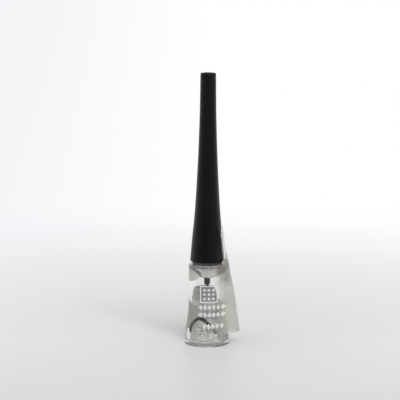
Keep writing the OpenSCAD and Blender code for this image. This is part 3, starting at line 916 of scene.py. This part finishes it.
def film_point(degrees, z, top):
    """A point of the film, and how free, olive and shaded, milky, and folded or lit along an edge it is
    there.
    """
    lean_end, crease_w, border_w = -4, 1.9, 7
    free_off, loose_off, torn_w = 0.17 * MM, 1.5 * MM, 0.42 * MM
    past_cut = degrees >= CUT_AZIMUTH
    held = smooth_step((lean_end - degrees) / (lean_end - CUT_AZIMUTH)) * past_cut
    above = smooth_step((z - SHOULDER_Z) / (0.5 * MM))
    leant = degrees + curve_at(max(z / MM, TEAR_LEAN[0][0]), TEAR_LEAN) * held
    stand = film_stand(leant, z)
    off = stand - film_body_r(z)
    free = max(smooth_step(off / free_off), above)
    plain = polar(stand, math.radians(leant), z)
    crinkle = noise.noise(plain / (3.5 * MM)) * 0.3 + noise.noise(plain / (1.2 * MM)) * 0.1
    loose = max(smooth_step(off / loose_off), above) * min(1, (EAR_FOOT_X - stand) / (0.5 * MM))
    point = plain + outward(plain) * max(crinkle, -0.1) * loose * 0.45 * MM
    slope = (torn_edge_z(degrees - 1) - torn_edge_z(degrees + 1)) / (2 * math.radians(1) * stand)
    right = smooth_step((degrees - CUT_AZIMUTH - 1) / 5)
    torn = smooth_step(1.2 - (top - z) / (torn_w * math.hypot(1, slope))) * above * right
    # White of the ear's crease, the torn edge and the cut border: partly whitened film, partly a painted
    # highlight along those edges.
    crease = math.exp(-((degrees / crease_w) ** 2))
    crease *= 0.25 + 0.75 * smooth_step((z - 17 * MM) / (11 * MM))
    border = 0.2 + 0.3 * smooth_step((z - 35 * MM) / (3 * MM))
    border *= math.exp(-(((degrees - CUT_AZIMUTH) / border_w) ** 2)) * above * past_cut
    side = smooth_step((degrees + 68) / 20) * smooth_step((2 - degrees) / 12)
    # Olive that deepens towards the cap: partly the film's tint, partly painted shade.
    olive_shade = side * smooth_step((z - OLIVE_Z) / (4.5 * MM)) * smooth_step((OLIVE_END_Z - z) / (1.5 * MM))
    olive_shade *= 1 + 0.8 * smooth_step((z - OLIVE_DEEP_Z) / (0.8 * MM))
    milky = side * smooth_step((MILKY_Z - z) / (4 * MM))
    return point, (free, olive_shade, milky, max(crease, torn, border))


def make_film(material):
    """The sleeve: round its back in wide steps, and over the ear and the strip in fine ones."""
    fine, cut_column, columns_after, wide_steps, rows = 0.75, 48, 128, 76, 80
    ear_columns = [CUT_AZIMUTH + fine * i for i in range(-cut_column, columns_after + 1)]
    back = 360 - (cut_column + columns_after) * fine
    behind = [ear_columns[-1] + back * i / wide_steps for i in range(1, wide_steps)]
    columns = [d if d <= 180 else d - 360 for d in ear_columns + behind]
    edges = [torn_edge_z(d) for d in columns]

    def height(v):
        return FILM_FOOT + (TEAR_Z - FILM_FOOT) * v

    bm = sheet(len(columns), rows, lambda u, v: Vector((u, v, 0)))
    cut = []
    for face in bm.faces:
        middle = face.calc_center_median()
        if 0 < cut_column - middle.x * len(columns) < 1 and height(middle.y) > SHOULDER_Z:
            cut.append(face)
    bmesh.ops.delete(bm, geom=cut, context="FACES")
    layers = [bm.verts.layers.float.new(name) for name in FILM_LOOKS]
    for vert in bm.verts:
        k = round(vert.co.x * len(columns)) % len(columns)
        vert.co, values = film_point(columns[k], min(height(vert.co.y), edges[k]), edges[k])
        for layer, value in zip(layers, values):
            vert[layer] = value
    bmesh.ops.remove_doubles(bm, verts=bm.verts, dist=0.001 * MM)
    bmesh.ops.dissolve_degenerate(bm, edges=bm.edges, dist=0.001 * MM)
    bmesh.ops.recalc_face_normals(bm, faces=bm.faces)
    bmesh.ops.solidify(bm, geom=bm.faces, thickness=-FILM_T)
    piece = piece_of("sleeve_film", bm, material, "bottle_body")
    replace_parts(piece, "label_film")


# The cap and its brush


def make_cap_shell(material):
    """The tall hollow handle, with rounded edges and a faintly domed tip."""
    bore_top = CAP_TOP - CAP_TIP_T
    dome = 0.12 * MM
    edge_top = CAP_TOP - dome
    flat_r = CAP_TIP_R - CAP_EDGE
    outline = [
        (cap_r(RIM_Z + CAP_EDGE), RIM_Z + CAP_EDGE),
        *[(cap_r(z), z) for z in steps_between(RIM_Z + CAP_EDGE, edge_top - CAP_EDGE, 60)],
        *arc(flat_r, edge_top - CAP_EDGE, CAP_EDGE, 15, 75, 5),
        *[(flat_r * (1 - i / 8), edge_top + dome * (1 - (1 - i / 8) ** 2)) for i in range(1, 9)],
        (0, bore_top), *[(cap_r(z) - CAP_WALL, z) for z in reversed(steps_between(RIM_Z, bore_top, 40))],
        (cap_r(RIM_Z) - CAP_WALL, RIM_Z),
        *arc(CAP_RIM_R - CAP_EDGE, RIM_Z + CAP_EDGE, CAP_EDGE, -90, -20, 5),
    ]
    piece = piece_of("cap_handle", lathe(outline), material, "applicator")
    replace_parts(piece, "cap_shell")


def make_tuft(material):
    """The brush: fine tapered bristles that draw together to a point, in their plug."""
    strands, rings = 420, 8
    root_r, plug_r = 0.455 * MM, 0.48 * MM
    golden = math.radians(137.508)
    length = STEM_BOTTOM - TUFT_TIP
    thick = 0.034 * MM
    hold = 0.05 * MM
    whole = bmesh.new()
    bmesh.ops.create_cone(
        whole, cap_ends=True, segments=48, radius1=plug_r, radius2=plug_r, depth=TUFT_TOP - STEM_BOTTOM,
        matrix=Matrix.Translation((0, 0, (TUFT_TOP + STEM_BOTTOM) / 2)),
    )
    for i in range(strands):
        share = math.sqrt((i + 0.5) / strands)
        root = polar(root_r * share, i * golden, 0)
        reach = length * (1 - 0.3 * share**3)

        def place(u, v):
            t = u * reach / length
            drawn = 1 - 0.2 * smooth_step(t / 0.5) - 0.72 * smooth_step((t - 0.4) / 0.6)
            z = STEM_BOTTOM + (hold if u == 0 else -t * length)
            side = polar(thick / 2 * (1 - 0.7 * u * u), i * golden + v * TURN, 0)
            return root * drawn + side + Vector((brush_bow(z), 0, z))

        add_part(whole, tube(3, rings, place))
    piece = piece_of("brush_tuft", whole, material, "applicator")
    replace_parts(piece, "brush")


# The print, kept to plain marks


def add_mark(whole, x, z, wide, high, lozenge=False):
    """A thin patch of ink on the film's front, centred x to the right of the axis at height z."""

    def place(u, v):
        narrow = 1 - abs(2 * v - 1) if lozenge else 1
        px, pz = x + (u - 0.5) * wide * narrow, z + (v - 0.5) * high
        r = film_body_r(pz)
        degrees = math.degrees(math.atan2(-math.sqrt(max(r * r - px * px, 0)), px))
        return polar(film_stand(degrees, pz) + FILM_T + 0.02 * MM, math.radians(degrees), pz)

    bm = sheet(max(2, round(wide / (0.15 * MM))), max(4, 2 * round(high / (0.5 * MM))), place)
    bmesh.ops.remove_doubles(bm, verts=bm.verts, dist=0.001 * MM)
    bmesh.ops.recalc_face_normals(bm, faces=bm.faces)
    bmesh.ops.solidify(bm, geom=bm.faces, thickness=-0.015 * MM)
    add_part(whole, bm)


def make_print(material):
    """A plain badge of dots in a square frame, and three rows of lozenges."""
    whole = bmesh.new()
    centre_x, centre_z = 0.7 * MM, 20.6 * MM
    half, line = 3.15 * MM, 0.42 * MM
    dot, dot_pitch = 1.2 * MM, 1.7 * MM
    mark_w, mark_h, mark_pitch = 1.45 * MM, 2.2 * MM, 1.65
    for side in (-1, 1):
        add_mark(whole, centre_x + side * half, centre_z, line, 2 * half + line)
        add_mark(whole, centre_x, centre_z + side * half, 2 * half - line, line)
    for row in (-1, 0, 1):
        for column in (-1, 0, 1):
            x, z = centre_x + column * dot_pitch, centre_z + row * dot_pitch
            add_mark(whole, x, z, dot, dot, lozenge=True)
    for z, first_x, count in ((15.4, -2.4, 6), (12.6, -2.4, 6), (8.2, -1, 5)):
        for i in range(count):
            add_mark(whole, (first_x + mark_pitch * i) * MM, z * MM, mark_w, mark_h, lozenge=True)
    return piece_of("sleeve_print", whole, material, "bottle_body")


# The stage


def make_floor():
    """A pale floor that runs back into a white sweep, as the camera sees it. It is cooler at the far left
    and dimmer in front, and the object mirrors its front dimmer still."""
    bm = bmesh.new()
    bmesh.ops.create_grid(bm, x_segments=1, y_segments=1, size=3)
    mesh = bpy.data.meshes.new("floor")
    bm.to_mesh(mesh)
    bm.free()
    mat, nodes, links, shader = new_material("floor_pale")
    place = place_node(nodes)
    axes = nodes.new("ShaderNodeSeparateXYZ")
    links.new(place, axes.inputs["Vector"])
    reach = nodes.new("ShaderNodeVectorMath")
    reach.operation = "LENGTH"
    links.new(place, reach.inputs[0])
    away = reach.outputs["Value"]
    spread = 0.32
    # Painted light and shade: the ramp is darkest at the object's foot, a painted shadow round it, and
    # brightens away from it as painted light running back into the white sweep.
    tone = ramp(nodes, links, ranged(nodes, links, away, 0, spread, 0, 1), [
        (0.0, (0.76, 0.755, 0.745)), (0.03 / spread, (0.815, 0.81, 0.80)),
        (0.058 / spread, (0.845, 0.84, 0.825)), (0.098 / spread, (0.875, 0.868, 0.853)),
        (0.139 / spread, (0.885, 0.88, 0.868)), (0.182 / spread, (0.897, 0.895, 0.892)),
        (0.21 / spread, (0.915, 0.917, 0.925)), (0.232 / spread, (0.94, 0.943, 0.957)),
        (0.252 / spread, (0.975, 0.98, 0.99)), (0.29 / spread, (1.0, 1.0, 1.0)),
    ])
    dim_left = ranged(nodes, links, axes.outputs["X"], -0.11, 0, 0.1, 0)
    dim_far = ranged(nodes, links, axes.outputs["Y"], 0.1, 0.25, 0, 1)
    dim_front = ranged(nodes, links, axes.outputs["Y"], -0.1, 0, 0.2, 0)
    path = nodes.new("ShaderNodeLightPath")
    mirror_dim = ranged(nodes, links, axes.outputs["Y"], -0.05, 0.02, 0.42, 0)
    dim_mirror = maths(nodes, links, "MULTIPLY", path.outputs["Is Glossy Ray"], mirror_dim)
    far_left = maths(nodes, links, "MULTIPLY", dim_left, dim_far)
    cool = mixed(nodes, links, far_left, tone, (0.0, 0.05, 0.25))
    dimmed = mixed(nodes, links, maths(nodes, links, "MAXIMUM", dim_front, dim_mirror), cool, grey(0.0))
    links.new(dimmed, shader.inputs["Base Color"])
    set_inputs(shader, Roughness=0.45, Specular_IOR_Level=0.3)
    glow = nodes.new("ShaderNodeEmission")
    links.new(dimmed, glow.inputs["Color"])
    seen = maths(nodes, links, "MAXIMUM", path.outputs["Is Camera Ray"], path.outputs["Is Glossy Ray"])
    seen = maths(nodes, links, "MAXIMUM", seen, path.outputs["Is Transmission Ray"])
    share = maths(nodes, links, "MULTIPLY", seen, ranged(nodes, links, away, 0.07, 0.2, 0, 1))
    through = maths(nodes, links, "MULTIPLY", path.outputs["Is Transmission Ray"], 0.6)
    share = maths(nodes, links, "MAXIMUM", share, through)
    mix = nodes.new("ShaderNodeMixShader")
    links.new(share, mix.inputs["Fac"])
    links.new(shader.outputs["BSDF"], mix.inputs[1])
    links.new(glow.outputs["Emission"], mix.inputs[2])
    links.new(mix.outputs["Shader"], nodes["Material Output"].inputs["Surface"])
    linked("floor", mesh, mat)


def make_world():
    """White studio light. What the object mirrors is dark in front and overhead, and bright behind and at
    the right, and what shows through its clear parts is darker overhead."""
    world = bpy.data.worlds.new("studio")
    world.use_nodes = True
    nodes, links = world.node_tree.nodes, world.node_tree.links
    axes = nodes.new("ShaderNodeSeparateXYZ")
    links.new(nodes.new("ShaderNodeTexCoord").outputs["Generated"], axes.inputs["Vector"])
    side = ranged(nodes, links, axes.outputs["Y"], -1, 1, 0, 1)
    around = ramp(nodes, links, side, [
        (0.0, grey(0.02)), (0.22, grey(0.05)), (0.5, grey(0.35)), (0.72, grey(0.95)),
    ])
    right = ranged(nodes, links, axes.outputs["X"], 0.3, 0.7, 0, 0.6)
    around = mixed(nodes, links, right, around, grey(0.95))
    overhead = ranged(nodes, links, axes.outputs["Z"], 0.45, 0.8, 0, 1)
    mirrored = mixed(nodes, links, overhead, around, grey(0.08))
    path = nodes.new("ShaderNodeLightPath")
    lit = mixed(nodes, links, path.outputs["Is Glossy Ray"], grey(0.52), mirrored)
    above = ranged(nodes, links, axes.outputs["Z"], 0.1, 0.4, 0, 1)
    through = mixed(nodes, links, above, grey(1.0), grey(0.25))
    lit = mixed(nodes, links, path.outputs["Is Transmission Ray"], lit, through)
    seen = mixed(nodes, links, path.outputs["Is Camera Ray"], lit, grey(1.0))
    links.new(seen, nodes["Background"].inputs["Color"])
    bpy.context.scene.world = world


def add_lamp(name, front, elevation, away, size, power):
    """A square soft lamp, away metres off, that faces the object from this azimuth and elevation."""
    lamp = bpy.data.lights.new(name, "AREA")
    lamp.size = size
    lamp.energy = power
    holder = bpy.data.objects.new(name, lamp)
    e = math.radians(elevation)
    toward = at_front(math.cos(e), front, math.sin(e))
    holder.location = toward * away + Vector((0, 0, 0.05))
    holder.rotation_euler = toward.to_track_quat("Z", "Y").to_euler()
    bpy.context.scene.collection.objects.link(holder)


def add_camera():
    """The photograph's view: from the front, a little above, through a long lens, turned a touch."""
    elevation, roll = math.radians(10.5), math.radians(0.3)
    away, wide = 1.35, 0.1533
    aim = Vector((-2.9, 0, 56.1)) * MM
    back = Vector((0, -math.cos(elevation), math.sin(elevation)))
    camera = bpy.data.cameras.new("camera")
    camera.sensor_width = 36
    camera.lens = camera.sensor_width * away / wide
    camera.clip_start, camera.clip_end = 0.1, 20
    holder = bpy.data.objects.new("camera", camera)
    turned = back.to_track_quat("Z", "Y").to_matrix().to_4x4() @ Matrix.Rotation(roll, 4, "Z")
    holder.matrix_world = Matrix.Translation(aim + back * away) @ turned
    bpy.context.scene.collection.objects.link(holder)
    bpy.context.scene.camera = holder


bpy.context.scene.view_settings.view_transform = "Standard"
add_camera()
make_world()
make_floor()
add_lamp("key_lamp", front=20, elevation=47, away=0.9, size=0.4, power=4.3)
add_lamp("side_lamp", front=-75, elevation=30, away=0.9, size=1.0, power=1.35)

make_bottle(clear_plastic())
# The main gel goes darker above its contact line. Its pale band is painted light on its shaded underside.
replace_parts(make_gel(glitter_gel(
    "glitter_gel", level=0.42, contrast=0.06,
    darkened=(16.5 * MM, 18.5 * MM, 0.28), pale=(1.25 * MM, 1.19 * MM, 0.7),
)), "liner_gel")
# Painted light and shade on the cone: its level is paler than the main gel's, to make up for the shade of
# the shoulder and cap. Its darkened band is painted shade where the lamp lights its ring at the wall, and
# its pale band is painted light on its shaded top under the cap.
make_gel_cone(glitter_gel(
    "glitter_gel_cone", level=0.7, contrast=0.12,
    darkened=(28.6 * MM, 29.3 * MM, 0.42), pale=(30.06 * MM, 30.11 * MM, 0.95),
))
# Painted light and shade on the coat, as on the cone: a paler level for the shade under the shoulder, a
# darkened band of painted shade in the lit corner, and a pale band of painted light under the cap.
make_coat(glitter_gel(
    "glitter_gel_coat", level=0.68, contrast=0.02,
    darkened=(28.4 * MM, 29.6 * MM, 0.35), pale=(30.06 * MM, 30.11 * MM, 0.95),
))
scatter_flakes(flake_silver())
make_creases(crease_shade_material())
make_film(sleeve_film())
make_print(white_ink())
make_cap_shell(cap_black())
make_tuft(bristle_black())

for node, material in (
    ("wiper", natural_plastic()),
    ("seal_ring", seal_foam()),
    ("inner_cap", collar_plastic()),
    ("stem", stem_black()),
):
    frame["nodes"][node].material_slots[0].material = material
